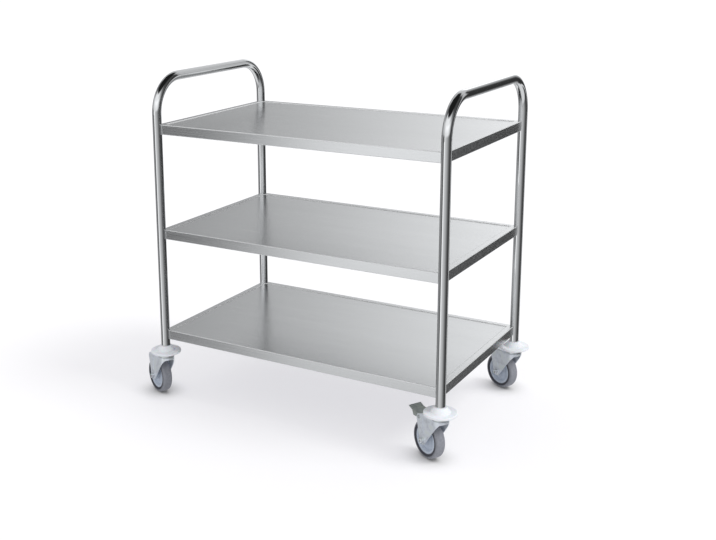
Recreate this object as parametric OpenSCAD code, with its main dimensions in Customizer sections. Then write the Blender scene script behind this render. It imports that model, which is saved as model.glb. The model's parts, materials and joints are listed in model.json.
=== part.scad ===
// Three-shelf stainless steel serving trolley on four swivel castors.
// The origin is on the floor, midway between the four posts.
// X runs along the shelves, Y across them and Z up, in millimetres.

/* [Tube frames] */
// Distance between post centres along the shelves
post_span = 835; // [700:5:1000]
// Distance between post centres across the shelves
post_depth = 510; // [420:5:600]
// Outside diameter of the bent tube
tube_d = 25; // [24:0.5:28]
// Wall of the bent tube
tube_wall = 1.2; // [1:0.1:1.5]
// Radius of the handle bends, to the middle of the tube
bend_r = 95; // [75:1:105]
// Height of the handle bar's middle above the top shelf
handle_rise = 121.5; // [100:0.5:160]

/* [Shelves] */
// Height of the bottom shelf's rim above the feet of the posts
shelf_rise = 47; // [42:1:80]
// Distance from one shelf to the next
shelf_pitch = 290; // [240:1:320]
// Thickness of the shelf sheet
sheet = 1; // [0.8:0.1:1.2]
// Height of the turned-down edges
edge_h = 27; // [25:0.5:32]
// Width of the lip turned in below each edge
lip_w = 12; // [8:0.5:16]
// Outside radius of the folds
fold_r = 2; // [1.6:0.1:3]
// Width of the flat rim round the tray
rim_w = 16; // [14:0.5:24]
// Depth of the tray below the rim
tray_deep = 1.5; // [0.8:0.1:2.5]
// How far the tray's sides lean in over their depth
tray_lean = 2.5; // [1:0.5:5]
// Gap between a corner notch and its post
post_gap = 0.3; // [0.2:0.05:0.5]

/* [Shelf stiffeners] */
// Width of the channel's closed face
channel_w = 44; // [30:1:70]
// Depth of the channel
channel_h = 16; // [10:0.5:20]
// Width of each welded flange
channel_flange = 14; // [8:1:25]
// Distance of the channel's ends from the post centres
channel_inset = 48; // [40:1:100]

/* [Shelf fixings] */
// Wall of the welded corner brackets
bracket_t = 2; // [1.5:0.1:2.5]
// Length of a bracket's wing along each edge
bracket_wing = 28; // [22:1:40]
// Diameter of the shelf screws
screw_d = 6; // [5:0.5:6.5]
// Depth of the screws below the shelf rim
screw_drop = 14; // [13:0.5:16]
// Diameter of the screw heads
screw_head_d = 10.5; // [9:0.5:12]
// Height of the screw heads
screw_head_h = 3.3; // [2.5:0.1:4]
// Key size across the flats of the screws' sockets
screw_key = 4; // [3:0.5:4.5]
// Diameter of the rivet nuts in the posts
nut_d = 9; // [8:0.5:10]
// Length of the rivet nuts
nut_len = 11; // [8:0.5:11]
// Diameter of the bulge that holds a rivet nut
nut_bulge_d = 11; // [10.5:0.5:12]

/* [Wheels] */
// Diameter of the wheels
wheel_d = 100; // [90:1:110]
// Width of the tyres
tyre_w = 28; // [24:1:31]
// Depth of the tyres from tread to seat
tyre_deep = 13; // [10:0.5:15]
// Radius of the tyre's shoulders
tyre_round = 7; // [4:0.5:8]
// Width of the recessed side walls
wall_w = 5.5; // [3:0.5:7]
// Depth of the side walls below the shoulders
wall_deep = 1.2; // [0.5:0.1:1.8]
// Width of the wheel hubs over their barrels
hub_w = 36; // [34:0.5:37]
// Diameter of the hub barrels
hub_barrel_d = 24; // [20:1:28]
// Thickness of the wheel disc at its middle
disc_t = 9; // [6:0.5:14]
// Width of the rim that carries the tyre
hub_rim = 5; // [3:0.5:7]

/* [Axles] */
// Diameter of the axle bolts
axle_d = 8; // [6:0.5:9]
// Wall of the spacer sleeves on the axle bolts
sleeve_wall = 2; // [1.5:0.25:3]
// Width across the flats of the axle bolts and nuts
axle_hex = 13; // [12:0.5:15]
// Height of the axle bolts' heads
axle_head_h = 5.3; // [4:0.1:6]
// Height of the axle nuts
axle_nut_h = 6.5; // [5:0.1:8]

/* [Castor forks] */
// Distance that a wheel trails behind its swivel
trail = 42; // [38:1:46]
// Free height between a tyre and the top of its fork
crown_rise = 18; // [16:0.5:24]
// Thickness of the fork's plate
fork_t = 2.5; // [2:0.1:3]
// Free width between the fork's legs
fork_gap = 39; // [38:0.5:44]
// Outside radius of the crown's edge
crown_round = 5; // [3.5:0.5:7]
// Depth of the crown's rounded front
crown_skirt = 7; // [6:0.5:10]
// Radius of the rounded foot of each leg
leg_foot_r = 12; // [9:0.5:14]
// Width of the rib pressed into each leg
leg_rib_w = 6; // [4:0.5:8]
// Height of the rib above the leg's face
leg_rib_h = 1; // [0.5:0.1:1.5]

/* [Swivels] */
// Diameter of the swivel stems
stem_d = 12; // [10:0.5:13]
// Diameter of the stem's head under the crown
stem_head_d = 22; // [18:0.5:26]
// Height of the stem's head
stem_head_h = 4.5; // [3:0.1:5]
// Diameter of the upper race
race_d = 46; // [42:0.5:50]
// Height of the upper race above the crown
race_h = 10; // [9:0.25:12]
// Wall of the upper race
race_wall = 2; // [1.5:0.1:2.5]
// Number of balls in each swivel
ball_count = 10; // [8:1:12]
// Length of the threaded plug in each post
plug_len = 22; // [18:0.5:24]

/* [Bumpers] */
// Diameter of the bumper discs
bumper_d = 84; // [72:1:92]
// Height of a bumper below its post
bumper_h = 21; // [16:0.5:24]
// Depth of the seat that takes the post's end
seat_deep = 1.5; // [0.5:0.25:3]
// Thickness of the bumper's rim
bumper_rim = 7; // [5.5:0.25:8]
// Radius of the rim's round edge
bumper_round = 2.5; // [1.5:0.25:2.75]
// Diameter of the boss below the rim and of the foot of the cone above it
bumper_boss_d = 52; // [48:1:58]
// Height of the boss below the rim
bumper_boss_h = 2; // [1:0.25:4]

/* [Brakes] */
// Distance of the brake pin behind the swivel
brake_pin_back = 56; // [54:0.5:58]
// Height of the brake pin above the tyre's top
brake_pin_rise = 7.5; // [7:0.25:8]
// Diameter of the brake pins
brake_pin_d = 6; // [5:0.25:7]
// Turn of the pedal from free to locked, in degrees
brake_travel = 17; // [14:0.5:18]
// Thickness of the pedal's plate
pedal_t = 2; // [1.5:0.1:2.5]
// Width of the pedal's tread
pedal_w = 36; // [32:1:38]
// Reach of the pedal's tread behind the brake pin
pedal_reach = 49; // [46:0.5:60]
// Length of the pedal's tread
pedal_len = 15; // [12:1:16]
// Height of the tread's near edge above the brake pin
pedal_rise = 4.5; // [2:0.5:8]
// Rise of the tread from its near edge to its end
tread_rise = 6; // [3:0.5:8]
// Height of the face below the tread
pedal_drop = 12; // [9:0.5:13]
// Diameter of the grip bars pressed up from the tread
grip_d = 2; // [1.5:0.1:2.5]
// Angle of the brake shoe below the level, seen from the pin
shoe_angle = 40; // [36:1:44]
// Distance of the brake shoe from the pin
shoe_reach = 8.5; // [8:0.25:9.5]

/* [Hidden] */

$fn = 72;
// Small overshoot for cuts that run past a face
over = 1;
// Radial clearance of a running fit
run_fit = 0.05;
// Gap between faces that slide past each other
face_gap = 0.3;
// Radial clearance of the screws' holes in the brackets
screw_play = 0.15;
// Slope at the side of the screws' button heads
screw_head_slope = 1.5;
// Distance that a screw or a stem stops short of the end of its thread
thread_spare = 2;
// Height of the bulge that a rivet nut sets behind the post's wall
nut_bulge_h = 2;
// Length of an axle bolt past its nut
bolt_spare = 1.5;
// Width of the bumper's collar round the post
collar_w = 3;
// Chamfer at the ends of the hub barrels
hub_chamfer = 1.5;
// Width of the slopes at both sides of the wheel disc
hub_slope = 4;
// Distance that the wheel rim stands in from the tyre's sides
hub_inset = 2;
// Gap between a pedal's cheek and the leg of its fork
cheek_gap = 1.1;
// Wall of the pedal's eyes round the brake pin
eye_wall = 3;
// How far the face below the tread leans in under it
pedal_lean = 6;
// Height of the brake pins' heads, and their width past the pin
pin_head = 2;
// How far the fork's straight edges run into the round of its feet, so that they cross it cleanly
foot_bite = 0.2;

// Corners in the order front left, front right, back right, back left
FRONT_LEFT = 0;
FRONT_RIGHT = 1;
BACK_RIGHT = 2;
BACK_LEFT = 3;
CORNERS = [0, 1, 2, 3];
corner_side = [[-1, -1], [1, -1], [1, 1], [-1, 1]];
// Direction in which each wheel trails, from +X towards +Y, as the trolley was left standing
rest_turn = [155, 151, 155, 150];

tube_r = tube_d / 2;
bore_r = tube_r - tube_wall;
notch_r = tube_r + post_gap;
// Distance of a rivet nut's flat face from the post's middle, where its rim meets the tube's round
nut_face = sqrt(pow(tube_r, 2) - pow(nut_d / 2, 2));

axle_z = wheel_d / 2;
crown_z = wheel_d + crown_rise;
race_z = crown_z + race_h;
foot_z = race_z + bumper_h;
shelf_low = foot_z + shelf_rise;
top_z = shelf_low + 2 * shelf_pitch;
handle_z = top_z + handle_rise;
shelf_zs = [top_z, shelf_low + shelf_pitch, shelf_low];

fork_half = fork_gap / 2 + fork_t;
pin_at = [brake_pin_back, wheel_d + brake_pin_rise];
axle_at = [trail, axle_z];
// Corners of the fork in its side view, from the nose under the crown round to the back
fork_nose = [-fork_half, crown_z - crown_skirt];
fork_chin = fork_nose + [7, -2];
fork_hip = pin_at + [11, -3.5];
fork_shoulder = pin_at + [7, 5.5];
fork_back = [trail + 5, crown_z];
ball_r = (race_h - race_wall) / 2 - face_gap;
ball_ring_r = race_d / 2 - race_wall - ball_r - face_gap;

// Point at a distance and an angle from the brake pin, in the fork's side view
function from_pin(distance, angle) = pin_at + distance * [cos(angle), sin(angle)];
// The shoe's radius leaves a small gap to the tyre when the pedal is down
shoe_locked = from_pin(shoe_reach, -shoe_angle - brake_travel);
shoe_r = norm(shoe_locked - axle_at) - wheel_d / 2 - face_gap;

// Point where a line from p touches a circle of radius r about c
function touch(p, c, r, side) =
    let(d = norm(p - c), lead = atan2(p.y - c.y, p.x - c.x), swing = side * acos(r / d))
    c + r * [cos(lead + swing), sin(lead + swing)];

// Children moved to a post, with their own X and Y kept
module at_post(i) {
    translate([corner_side[i].x * post_span / 2, corner_side[i].y * post_depth / 2, 0])
        children();
}

// Children turned so that their X points from a post to the middle of the shelf
module at_corner(i) {
    at_post(i)
        rotate([0, 0, 45 + 90 * i])
            children();
}

// Children turned so that their X points the way the castor trails
module at_castor(i) {
    at_post(i)
        rotate([0, 0, rest_turn[i]])
            children();
}

// Cylinder across the fork, centred at a point of its side view
module crossbar(at, d, length) {
    translate([at.x, 0, at.y])
        rotate([90, 0, 0])
            cylinder(d = d, h = length, center = true);
}

// Six-sided bar along -Y that starts at y = 0
module hex_bar(flats, height) {
    rotate([90, 0, 0])
        cylinder(d = flats / cos(30), h = height, $fn = 6);
}

// One inverted U of round bar, in the plane x = 0, from a foot height up
module u_bar(r, foot) {
    reach = post_depth / 2;
    for (side = [-1, 1]) {
        translate([0, side * reach, foot])
            cylinder(r = r, h = handle_z - bend_r - foot);
        translate([0, side * (reach - bend_r), handle_z - bend_r])
            rotate([90, 0, 90])
                rotate([0, 0, side > 0 ? 0 : 90])
                    rotate_extrude(angle = 90)
                        translate([bend_r, 0])
                            circle(r = r);
    }
    translate([0, 0, handle_z])
        rotate([90, 0, 0])
            cylinder(r = r, h = post_depth - 2 * bend_r, center = true);
}

// A bent tube frame: two posts and the handle bar between them
module handle_frame(side) {
    color("silver")
        difference() {
            translate([side * post_span / 2, 0, 0])
                difference() {
                    u_bar(tube_r, foot_z);
                    u_bar(bore_r, foot_z - over);
                }
            for (i = CORNERS)
                if (corner_side[i].x == side)
                    for (z = shelf_zs)
                        at_corner(i)
                            translate([0, 0, z - screw_drop])
                                rotate([0, 90, 0])
                                    cylinder(d = nut_d + 2 * run_fit, h = tube_d);
        }
}

// Round notches at the shelf's corners, one for each post
module post_notches() {
    for (side = corner_side)
        translate([side.x * post_span / 2, side.y * post_depth / 2])
            circle(r = notch_r);
}

// Section of a folded edge: face, top fold, bottom fold and lip, with its face on x = 0
module edge_section() {
    inner_r = fold_r - sheet;
    difference() {
        union() {
            translate([-sheet, -edge_h + fold_r])
                square([sheet, edge_h - 2 * fold_r]);
            translate([-lip_w, -edge_h])
                square([lip_w - fold_r, sheet]);
            translate([-rim_w, -sheet])
                square([rim_w - fold_r, sheet]);
            for (z = [-fold_r, -edge_h + fold_r])
                intersection() {
                    translate([-fold_r, z])
                        circle(r = fold_r);
                    translate([-fold_r, z < -edge_h / 2 ? z - fold_r : z])
                        square([fold_r, fold_r]);
                }
        }
        for (z = [-fold_r, -edge_h + fold_r])
            translate([-fold_r, z])
                circle(r = inner_r);
    }
}

// Four-sided block whose sides lean in below, as a pressed tray has them
module tray_block(length, width, lean, depth) {
    mirror([0, 0, 1])
        linear_extrude(height = depth, scale = [1 - 2 * lean / length, 1 - 2 * lean / width], $fn = 4)
            square([length, width], center = true);
}

// A shelf folded from one sheet, with its rim at z = 0
module shelf_sheet() {
    tray_l = post_span - 2 * rim_w;
    tray_w = post_depth - 2 * rim_w;
    difference() {
        union() {
            translate([0, 0, -sheet])
                linear_extrude(sheet)
                    square([post_span - 2 * fold_r, post_depth - 2 * fold_r], center = true);
            tray_block(tray_l + 2 * sheet, tray_w + 2 * sheet, tray_lean, tray_deep + sheet);
            for (side = [-1, 1]) {
                translate([0, side * post_depth / 2, 0])
                    rotate([90, 0, side * 90])
                        linear_extrude(post_span - 2 * fold_r, center = true)
                            edge_section();
                translate([side * post_span / 2, 0, 0])
                    rotate([90, 0, side > 0 ? 0 : 180])
                        linear_extrude(post_depth - 2 * fold_r, center = true)
                            edge_section();
            }
        }
        tray_block(tray_l, tray_w, tray_lean, tray_deep);
        translate([0, 0, -edge_h - over])
            linear_extrude(edge_h + 2 * over)
                post_notches();
    }
}

module shelf(z) {
    color("gainsboro")
        translate([0, 0, z])
            shelf_sheet();
}

// Hat channel welded under the tray
module stiffener(z) {
    under = z - tray_deep - sheet;
    color("darkgray")
        translate([0, 0, under])
            rotate([90, 0, 90])
                linear_extrude(post_span - 2 * channel_inset, center = true)
                    difference() {
                        union() {
                            translate([-channel_w / 2, -channel_h])
                                square([channel_w, channel_h]);
                            translate([-channel_w / 2 - channel_flange, -sheet])
                                square([channel_w + 2 * channel_flange, sheet]);
                        }
                        translate([-channel_w / 2 + sheet, -channel_h + sheet])
                            square([channel_w - 2 * sheet, channel_h]);
                    }
}

// Curved corner bracket with a wing along each edge, for the corner at the origin
module bracket_plan() {
    intersection() {
        difference() {
            union() {
                circle(r = notch_r + bracket_t);
                translate([0, sheet])
                    square([bracket_wing, bracket_t]);
                translate([sheet, 0])
                    square([bracket_t, bracket_wing]);
            }
            circle(r = notch_r);
        }
        translate([sheet, sheet])
            square(bracket_wing);
    }
}

module corner_brackets(z) {
    color("darkgray")
        for (i = CORNERS)
            difference() {
                at_post(i)
                    rotate([0, 0, 90 * i])
                        translate([0, 0, z - edge_h + fold_r])
                            linear_extrude(edge_h - 2 * fold_r)
                                bracket_plan();
                at_corner(i)
                    translate([0, 0, z - screw_drop])
                        rotate([0, 90, 0])
                            cylinder(d = screw_d + 2 * screw_play, h = tube_d);
            }
}

// Button-head screws from inside each shelf corner into the posts
module shelf_screws(z) {
    seat = notch_r + bracket_t;
    tip = nut_face - nut_len + thread_spare;
    color("silver")
        for (i = CORNERS)
            at_corner(i)
                translate([0, 0, z - screw_drop])
                    rotate([0, 90, 0])
                        difference() {
                            union() {
                                translate([0, 0, tip])
                                    cylinder(d = screw_d, h = seat - tip);
                                translate([0, 0, seat])
                                    cylinder(d1 = screw_head_d, d2 = screw_head_d - 2 * screw_head_slope,
                                        h = screw_head_h);
                            }
                            translate([0, 0, seat + screw_head_h / 3])
                                cylinder(d = screw_key / cos(30), h = screw_head_h, $fn = 6);
                        }
}

// Rivet nuts set in the post walls
module rivet_nuts(z) {
    bulge_end = sqrt(pow(bore_r, 2) - pow(nut_bulge_d / 2, 2)) - run_fit;
    color("goldenrod")
        for (i = CORNERS)
            at_corner(i)
                translate([0, 0, z - screw_drop])
                    rotate([0, 90, 0])
                        difference() {
                            union() {
                                translate([0, 0, nut_face - nut_len])
                                    cylinder(d = nut_d, h = nut_len);
                                translate([0, 0, bulge_end - nut_bulge_h])
                                    cylinder(d = nut_bulge_d, h = nut_bulge_h);
                            }
                            translate([0, 0, nut_face - nut_len - over])
                                cylinder(d = screw_d + 2 * run_fit, h = nut_len + 2 * over);
                        }
}

// Threaded plugs pressed into the feet of the posts
module post_plugs() {
    color("dimgray")
        for (i = CORNERS)
            at_post(i)
                translate([0, 0, foot_z])
                    difference() {
                        cylinder(r = bore_r - run_fit, h = plug_len);
                        translate([0, 0, -over])
                            cylinder(d = stem_d + 2 * run_fit, h = plug_len + 2 * over);
                    }
}

// Headed stems that hang each fork, screwed into the post plugs
module swivel_stems() {
    head_z = crown_z - fork_t - face_gap - stem_head_h;
    color("silver")
        for (i = CORNERS)
            at_post(i) {
                translate([0, 0, head_z])
                    cylinder(d = stem_head_d, h = stem_head_h);
                translate([0, 0, head_z])
                    cylinder(d = stem_d, h = foot_z + plug_len - thread_spare - head_z);
            }
}

// Upper races: shallow cups that cover the swivel balls
module swivel_races() {
    color("silver")
        for (i = CORNERS)
            at_post(i)
                difference() {
                    translate([0, 0, crown_z + face_gap])
                        cylinder(d = race_d, h = race_h - face_gap);
                    translate([0, 0, crown_z])
                        cylinder(d = race_d - 2 * race_wall, h = race_h - race_wall);
                    translate([0, 0, crown_z])
                        cylinder(d = stem_d + 2 * run_fit, h = race_h + over);
                }
}

module swivel_balls() {
    color("lightsteelblue")
        for (i = CORNERS)
            at_post(i)
                for (k = [0:ball_count - 1])
                    rotate([0, 0, k * 360 / ball_count])
                        translate([ball_ring_r, 0, crown_z + face_gap + ball_r])
                            sphere(r = ball_r, $fn = 24);
}

// Soft bumper disc between a castor and its post
module bumper(i) {
    r = bumper_d / 2;
    seat_r = tube_r + 2 * run_fit;
    collar_r = seat_r + collar_w;
    rim_top = bumper_boss_h + bumper_rim;
    collar_top = bumper_h + seat_deep;
    color("white")
        at_post(i)
            translate([0, 0, race_z])
                difference() {
                    rotate_extrude()
                        union() {
                            square([bumper_boss_d / 2, rim_top]);
                            translate([0, bumper_boss_h])
                                square([r - bumper_round, bumper_rim]);
                            translate([0, bumper_boss_h + bumper_round])
                                square([r, bumper_rim - 2 * bumper_round]);
                            for (z = [bumper_boss_h + bumper_round, rim_top - bumper_round])
                                translate([r - bumper_round, z])
                                    circle(r = bumper_round);
                            polygon([[0, 0], [bumper_boss_d / 2, rim_top],
                                [collar_r, collar_top], [0, collar_top]]);
                        }
                    translate([0, 0, bumper_h])
                        cylinder(r = seat_r, h = bumper_h);
                    translate([0, 0, -over])
                        cylinder(d = stem_d + 2 * run_fit, h = 2 * bumper_h);
                }
}

// Half section of the fork's crown, for turning or for drawing out
module crown_section(half, top, round_r) {
    square([half - round_r, top]);
    square([half, top - round_r]);
    translate([half - round_r, top - round_r])
        circle(r = round_r);
}

// Crown and sides as one round-nosed block, open at the back if it is drawn out further
module crown_block(half, top, round_r, tail) {
    rotate_extrude()
        crown_section(half, top, round_r);
    rotate([90, 0, 90])
        linear_extrude(tail) {
            crown_section(half, top, round_r);
            mirror([1, 0])
                crown_section(half, top, round_r);
        }
}

// Side view of the fork: crown, front skirt and the two tapered legs
module fork_side() {
    polygon([[-fork_half, crown_z], fork_nose, fork_chin,
        touch(fork_chin, axle_at, leg_foot_r - foot_bite, 1), axle_at,
        touch(fork_hip, axle_at, leg_foot_r - foot_bite, -1), fork_hip, fork_shoulder, fork_back]);
    translate(axle_at)
        circle(r = leg_foot_r);
}

// Ribs that stiffen both legs, from below the crown to above the axle
module leg_ribs() {
    top = [trail + 2, crown_z - crown_round - leg_rib_w];
    foot = axle_at + [0, leg_foot_r + leg_rib_w];
    for (side = [-1, 1])
        translate([0, side * (fork_half + leg_rib_h - fork_t / 2), 0])
            across(fork_t)
                strip(top, foot, leg_rib_w);
}

// Pressed fork that swivels on the stem and carries the wheel
module fork(i, braked) {
    tail = fork_hip.x + over;
    color("lightgray")
        at_castor(i)
            difference() {
                union() {
                    intersection() {
                        difference() {
                            crown_block(fork_half, crown_z, crown_round, tail);
                            translate([0, 0, -over])
                                crown_block(fork_half - fork_t, crown_z - fork_t + over,
                                    crown_round - fork_t, tail + over);
                        }
                        across(3 * fork_half)
                            fork_side();
                    }
                    leg_ribs();
                }
                translate([0, 0, crown_z - crown_skirt])
                    cylinder(d = stem_d + 2 * run_fit, h = 2 * crown_skirt);
                crossbar(axle_at, axle_d + 2 * run_fit, 3 * fork_half);
                if (braked)
                    crossbar(pin_at, brake_pin_d + 2 * run_fit, 3 * fork_half);
            }
}

module axle_bolt(i) {
    color("silver")
        at_castor(i)
            translate([trail, 0, axle_z]) {
                translate([0, -fork_half, 0])
                    hex_bar(axle_hex, axle_head_h);
                translate([0, fork_half + axle_nut_h + bolt_spare, 0])
                    rotate([90, 0, 0])
                        cylinder(d = axle_d, h = 2 * fork_half + axle_nut_h + bolt_spare);
            }
}

module axle_nut(i) {
    color("silver")
        at_castor(i)
            translate([trail, fork_half + axle_nut_h, axle_z])
                difference() {
                    hex_bar(axle_hex, axle_nut_h);
                    crossbar([0, 0], axle_d + 2 * run_fit, 3 * axle_nut_h);
                }
}

// Spacer sleeve clamped between the legs, on which the wheel turns
module axle_sleeve(i) {
    color("silver")
        at_castor(i)
            difference() {
                crossbar(axle_at, axle_d + 2 * sleeve_wall, fork_gap);
                crossbar(axle_at, axle_d + 2 * run_fit, fork_gap + 2 * over);
            }
}

// Half section of the wheel centre, radius along X and width along Y
module hub_section() {
    bore = axle_d / 2 + sleeve_wall + run_fit;
    barrel = hub_barrel_d / 2;
    seat = wheel_d / 2 - tyre_deep;
    side = hub_w / 2;
    dish = tyre_w / 2 - hub_inset;
    disc = disc_t / 2;
    rim = seat - hub_rim;
    // One side of the section from the bore outwards; the other side mirrors it
    half = [[bore, side], [barrel - hub_chamfer, side], [barrel, side - hub_chamfer],
        [barrel, disc + hub_slope], [barrel + hub_slope, disc], [rim - hub_slope, disc],
        [rim, dish], [seat, dish]];
    last = len(half) - 1;
    polygon([for (p = half) p, for (k = [last:-1:0]) [half[k].x, -half[k].y]]);
}

module wheel_hub(i) {
    color("lightsteelblue")
        at_castor(i)
            translate([trail, 0, axle_z])
                rotate([90, 0, 0])
                    rotate_extrude()
                        hub_section();
}

module tyre(i) {
    tread = wheel_d / 2;
    half = tyre_w / 2;
    color("gray")
        at_castor(i)
            translate([trail, 0, axle_z])
                rotate([90, 0, 0])
                    rotate_extrude()
                        difference() {
                            union() {
                                translate([0, -half + tyre_round])
                                    square([tread, tyre_w - 2 * tyre_round]);
                                translate([0, -half])
                                    square([tread - tyre_round, tyre_w]);
                                for (side = [-1, 1])
                                    translate([tread - tyre_round, side * (half - tyre_round)])
                                        circle(r = tyre_round);
                            }
                            translate([0, -tyre_w])
                                square([tread - tyre_deep, 2 * tyre_w]);
                            for (low = [-tyre_w, half - wall_deep])
                                translate([0, low])
                                    square([tread - tyre_deep + wall_w, tyre_w - half + wall_deep]);
                        }
}

// Side view of a plate that runs between two points
module strip(a, b, t) {
    turn = atan2(b.y - a.y, b.x - a.x);
    translate(a)
        rotate([0, 0, turn])
            translate([0, -t / 2])
                square([norm(b - a), t]);
}

// Side view drawn out across the fork to a width
module across(width) {
    rotate([90, 0, 0])
        linear_extrude(width, center = true)
            children();
}

// Brake pedal: two cheeks on the pin, a web, a shoe over the tyre and a tread
module brake_pedal(i) {
    cheek_out = fork_gap - 2 * cheek_gap;
    eye_r = brake_pin_d / 2 + eye_wall;
    tread_in = pin_at + [pedal_reach - pedal_len, pedal_rise];
    tread_out = tread_in + [pedal_len, tread_rise];
    arm_low = tread_in - [pedal_lean, pedal_drop];
    web_in = pin_at + [eye_r, eye_r / 2];
    shoe_at = from_pin(shoe_reach, -shoe_angle);
    color("darkgray")
        at_castor(i)
            difference() {
                union() {
                    difference() {
                        across(cheek_out) {
                            polygon([touch(tread_in, pin_at, eye_r, 1), tread_in, arm_low,
                                touch(arm_low, pin_at, eye_r, -1), pin_at]);
                            translate(pin_at)
                                circle(r = eye_r);
                        }
                        translate([-over, 0, 0])
                            across(cheek_out - 2 * pedal_t)
                                square([3 * pedal_reach, 3 * pedal_reach]);
                    }
                    across(cheek_out)
                        strip(web_in, tread_in, pedal_t);
                    across(pedal_w) {
                        strip(tread_in, tread_out, pedal_t);
                        strip(tread_in, arm_low, pedal_t);
                        for (share = [0.25, 0.55, 0.85])
                            translate(tread_in + share * (tread_out - tread_in) + [0, pedal_t / 2])
                                circle(d = grip_d);
                    }
                    across(cheek_out) {
                        strip(pin_at, shoe_at, 2 * shoe_r);
                        translate(shoe_at)
                            circle(r = shoe_r);
                    }
                }
                crossbar(pin_at, brake_pin_d + 2 * run_fit, fork_gap);
            }
}

// Headed pin through both legs
module brake_pin(i) {
    color("silver")
        at_castor(i) {
            crossbar(pin_at, brake_pin_d, 2 * fork_half + 2 * pin_head);
            for (side = [-1, 1])
                translate([0, side * (fork_half + pin_head / 2), 0])
                    crossbar(pin_at, brake_pin_d + 2 * pin_head, pin_head);
        }
}

handle_frame(-1);  // left_handle_frame
handle_frame(1);  // right_handle_frame
shelf(shelf_zs[0]);  // top_shelf
shelf(shelf_zs[1]);  // middle_shelf
shelf(shelf_zs[2]);  // bottom_shelf
stiffener(shelf_zs[0]);  // top_stiffener
stiffener(shelf_zs[1]);  // middle_stiffener
stiffener(shelf_zs[2]);  // bottom_stiffener
corner_brackets(shelf_zs[0]);  // top_corner_brackets
corner_brackets(shelf_zs[1]);  // middle_corner_brackets
corner_brackets(shelf_zs[2]);  // bottom_corner_brackets
shelf_screws(shelf_zs[0]);  // top_shelf_screws
shelf_screws(shelf_zs[1]);  // middle_shelf_screws
shelf_screws(shelf_zs[2]);  // bottom_shelf_screws
rivet_nuts(shelf_zs[0]);  // top_rivet_nuts
rivet_nuts(shelf_zs[1]);  // middle_rivet_nuts
rivet_nuts(shelf_zs[2]);  // bottom_rivet_nuts
post_plugs();
swivel_stems();
swivel_races();
swivel_balls();
bumper(FRONT_LEFT);  // bumper_front_left
bumper(FRONT_RIGHT);  // bumper_front_right
bumper(BACK_RIGHT);  // bumper_back_right
bumper(BACK_LEFT);  // bumper_back_left
fork(FRONT_LEFT, false);  // fork_front_left
fork(FRONT_RIGHT, true);  // fork_front_right
fork(BACK_RIGHT, false);  // fork_back_right
fork(BACK_LEFT, true);  // fork_back_left
axle_bolt(FRONT_LEFT);  // axle_bolt_front_left
axle_bolt(FRONT_RIGHT);  // axle_bolt_front_right
axle_bolt(BACK_RIGHT);  // axle_bolt_back_right
axle_bolt(BACK_LEFT);  // axle_bolt_back_left
axle_nut(FRONT_LEFT);  // axle_nut_front_left
axle_nut(FRONT_RIGHT);  // axle_nut_front_right
axle_nut(BACK_RIGHT);  // axle_nut_back_right
axle_nut(BACK_LEFT);  // axle_nut_back_left
axle_sleeve(FRONT_LEFT);  // axle_sleeve_front_left
axle_sleeve(FRONT_RIGHT);  // axle_sleeve_front_right
axle_sleeve(BACK_RIGHT);  // axle_sleeve_back_right
axle_sleeve(BACK_LEFT);  // axle_sleeve_back_left
wheel_hub(FRONT_LEFT);  // wheel_hub_front_left
wheel_hub(FRONT_RIGHT);  // wheel_hub_front_right
wheel_hub(BACK_RIGHT);  // wheel_hub_back_right
wheel_hub(BACK_LEFT);  // wheel_hub_back_left
tyre(FRONT_LEFT);  // tyre_front_left
tyre(FRONT_RIGHT);  // tyre_front_right
tyre(BACK_RIGHT);  // tyre_back_right
tyre(BACK_LEFT);  // tyre_back_left
brake_pedal(FRONT_RIGHT);  // brake_pedal_front_right
brake_pedal(BACK_LEFT);  // brake_pedal_back_left
brake_pin(FRONT_RIGHT);  // brake_pin_front_right
brake_pin(BACK_LEFT);  // brake_pin_back_left
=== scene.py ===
"""Three-shelf stainless serving trolley: finishes, weld marks, small fittings and studio.

The trolley's solids come from the frame. This file gives each of them the finish of the real
piece, adds what is too small for the solids, and sets up the floor, the light and the camera.
It is laid out as an add-on and run as a script. Lengths are in metres.
"""

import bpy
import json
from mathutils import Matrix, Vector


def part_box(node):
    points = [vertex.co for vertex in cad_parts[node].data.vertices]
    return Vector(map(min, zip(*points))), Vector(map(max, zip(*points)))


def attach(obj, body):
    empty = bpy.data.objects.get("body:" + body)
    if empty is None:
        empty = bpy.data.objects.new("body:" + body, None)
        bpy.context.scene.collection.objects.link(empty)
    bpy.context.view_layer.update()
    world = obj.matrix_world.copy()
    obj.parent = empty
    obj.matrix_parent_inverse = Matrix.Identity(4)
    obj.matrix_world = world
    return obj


bl_info = {
    "name": "Serving Trolley",
    "version": (1, 0, 0),
    "blender": (4, 5, 0),
    "location": "View3D > Sidebar > Trolley",
    "description": "Finishes, small fittings and studio for a stainless serving trolley",
    "category": "Object",
}

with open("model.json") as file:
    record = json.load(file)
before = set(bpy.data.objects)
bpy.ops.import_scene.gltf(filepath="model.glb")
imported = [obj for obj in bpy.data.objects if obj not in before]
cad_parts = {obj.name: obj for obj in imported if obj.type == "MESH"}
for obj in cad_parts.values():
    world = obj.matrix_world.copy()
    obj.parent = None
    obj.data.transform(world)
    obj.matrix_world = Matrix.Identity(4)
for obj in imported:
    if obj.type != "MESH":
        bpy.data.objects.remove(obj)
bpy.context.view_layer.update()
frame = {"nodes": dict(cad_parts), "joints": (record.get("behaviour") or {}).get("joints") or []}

import json
import math

import bmesh
import bpy
from bpy.props import FloatProperty, FloatVectorProperty, IntProperty, PointerProperty
from mathutils import Matrix, Vector

LEVELS = ("top", "middle", "bottom")
CORNERS = ("front_left", "front_right", "back_right", "back_left")
BRAKED = ("front_right", "back_left")
JOINTS = {joint["name"]: joint for joint in frame["joints"]}
MM = 0.001

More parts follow.
